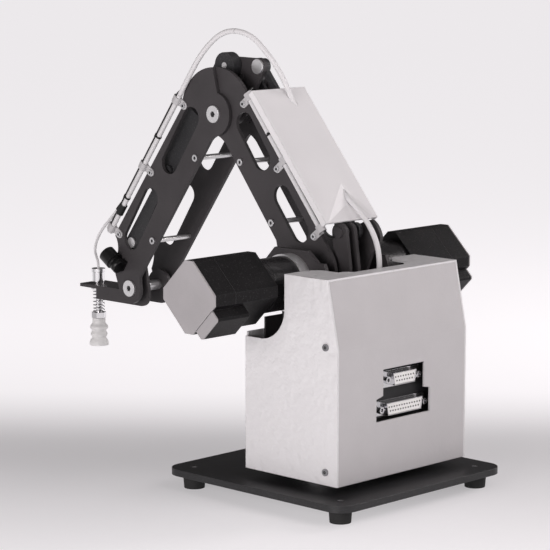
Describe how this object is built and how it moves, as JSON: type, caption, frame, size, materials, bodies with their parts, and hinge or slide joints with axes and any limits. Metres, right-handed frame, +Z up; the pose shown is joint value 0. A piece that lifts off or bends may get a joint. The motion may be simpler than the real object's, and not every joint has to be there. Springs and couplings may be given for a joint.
{
  "type": "desktop robot arm",
  "caption": "Parallel-link robot arm on a turning white housing: two motor drives at the shoulder, levelling links, covered upper arm and a sprung suction cup on a level wrist.",
  "frame": {"origin": "on the turning axis of the housing, in the plane of the feet's undersides", "axes": "+X along the arm's reach, +Y to the arm's left, +Z up"},
  "size_m": [0.3622, 0.276, 0.3384],
  "materials": {
    "base_black": "fine black powder coat",
    "rubber_black": "matte",
    "screw_steel": "satin",
    "screw_black": "black oxide",
    "bearing_steel": "ground",
    "plate_black": "matte black anodised",
    "motor_black": "fine-grain powder coat",
    "gearbox_black": "semi-gloss black",
    "panel_white": "fine-texture white",
    "rear_white": "fine-texture off-white",
    "chrome_trim": "bright plated",
    "socket_cream": "moulded",
    "socket_black": "matte",
    "ring_silver": "bright turned",
    "motor_end": "satin grey",
    "clip_grey": "satin",
    "tube_white": "gloss",
    "hose_white": "soft gloss",
    "cover_white": "satin",
    "link_black": "fine-grain",
    "knob_black": "moulded",
    "cup_white": "soft matte"
  },
  "bodies": {
    "base": {"base_plate": "base_black", "rubber_feet": "rubber_black", "base_screws": "screw_steel", "bearing_outer_race": "bearing_steel", "yaw_hub": "bearing_steel"},
    "turret": {"turret_deck": "plate_black", "bearing_inner_race": "bearing_steel", "yaw_motor": "motor_black", "yaw_gearbox": "gearbox_black", "left_side_panel": "panel_white", "right_side_panel": "panel_white", "rear_cover": "rear_white", "panel_screws": "screw_black", "socket_shells": "chrome_trim", "socket_inserts": "socket_cream", "socket_jackscrews": "chrome_trim", "socket_carrier": "socket_black", "uprights": "plate_black", "upright_tie_bars": "plate_black", "drive_flanges": "ring_silver", "drive_gearboxes": "gearbox_black", "motor_bodies": "motor_black", "motor_caps": "motor_black", "motor_end_plates": "motor_end", "anchor_bracket": "plate_black", "hose_fitting": "socket_black"},
    "upper_arm": {"upper_left_plate": "plate_black", "upper_right_plate": "plate_black", "upper_spacers": "ring_silver", "left_arm_hub": "plate_black", "upper_clips": "clip_grey", "upper_screws": "screw_steel", "upper_tube": "tube_white", "arm_cover": "cover_white", "cover_hose": "hose_white"},
    "tie_plate": {"tie_plate": "plate_black", "tie_plate_pins": "ring_silver", "elbow_hose": "hose_white"},
    "forearm": {"forearm_left_plate": "plate_black", "forearm_right_plate": "plate_black", "forearm_spacers": "ring_silver", "forearm_clips": "clip_grey", "forearm_screws": "screw_steel", "forearm_tube": "tube_white", "elbow_axle": "ring_silver", "forearm_lever": "plate_black", "air_adjuster": "knob_black", "hose_branch": "knob_black"},
    "rear_link": {"rear_link": "link_black"},
    "front_link": {"front_link": "link_black"},
    "crank": {"drive_crank": "plate_black"},
    "crank_pin": {"crank_pin": "ring_silver"},
    "drive_rod": {"drive_rod": "link_black"},
    "wrist": {"wrist_bracket": "plate_black", "wrist_pins": "ring_silver", "stem_bush": "chrome_trim", "stem_spring": "chrome_trim", "wrist_hose": "hose_white"},
    "tool": {"tool_stem": "chrome_trim", "suction_cup": "cup_white"}
  },
  "joints": [
    {"name": "yaw", "type": "hinge", "parent": "base", "child": "turret", "pos_m": [0, 0, 0], "axis": [0, 0, 1], "range_deg": [-120, 120]},
    {"name": "shoulder", "type": "hinge", "parent": "turret", "child": "upper_arm", "pos_m": [0.012, 0, 0.1575], "axis": [0, 1, 0], "range_deg": [-35, 25], "deforming": ["cover_hose"]},
    {"name": "tie_level", "type": "hinge", "parent": "upper_arm", "child": "tie_plate", "pos_m": [0.10637, 0, 0.27345], "axis": [0, 1, 0], "range_deg": [-25, 35], "deforming": ["elbow_hose"]},
    {"name": "elbow", "type": "hinge", "parent": "tie_plate", "child": "forearm", "pos_m": [0.10637, 0, 0.27345], "axis": [0, 1, 0], "range_deg": [-40, 10]},
    {"name": "wrist_level", "type": "hinge", "parent": "forearm", "child": "wrist", "pos_m": [0.2022, 0, 0.13002], "axis": [0, 1, 0], "range_deg": [-10, 40], "deforming": ["wrist_hose"]},
    {"name": "rear_link_swing", "type": "hinge", "parent": "turret", "child": "rear_link", "pos_m": [-0.0135, 0, 0.1935], "axis": [0, 1, 0], "range_deg": [-35, 25]},
    {"name": "front_link_swing", "type": "hinge", "parent": "tie_plate", "child": "front_link", "pos_m": [0.10837, 0, 0.30945], "axis": [0, 1, 0], "range_deg": [-40, 10]},
    {"name": "crank_turn", "type": "hinge", "parent": "turret", "child": "crank", "pos_m": [0.012, 0, 0.1575], "axis": [0, 1, 0], "range_deg": [-40, 10]},
    {"name": "crank_pin_level", "type": "hinge", "parent": "crank", "child": "crank_pin", "pos_m": [-0.00467, 0, 0.18244], "axis": [0, 1, 0], "range_deg": [-10, 40]},
    {"name": "drive_rod_swing", "type": "hinge", "parent": "crank_pin", "child": "drive_rod", "pos_m": [-0.00467, 0, 0.18244], "axis": [0, 1, 0], "range_deg": [-35, 25]},
    {"name": "cup_slide", "type": "slide", "parent": "wrist", "child": "tool", "axis": [0, 0, 1], "range_m": [0, 0.008], "stiffness_N_per_m": 150, "springref_m": -0.006, "deforming": ["stem_spring"]}
  ],
  "couplings": [
    {"joint": "tie_level", "follows": "shoulder", "ratio": -1},
    {"joint": "wrist_level", "follows": "elbow", "ratio": -1},
    {"joint": "rear_link_swing", "follows": "shoulder", "ratio": 1},
    {"joint": "front_link_swing", "follows": "elbow", "ratio": 1},
    {"joint": "crank_turn", "follows": "elbow", "ratio": 1},
    {"joint": "crank_pin_level", "follows": "elbow", "ratio": -1},
    {"joint": "drive_rod_swing", "follows": "shoulder", "ratio": 1}
  ]
}
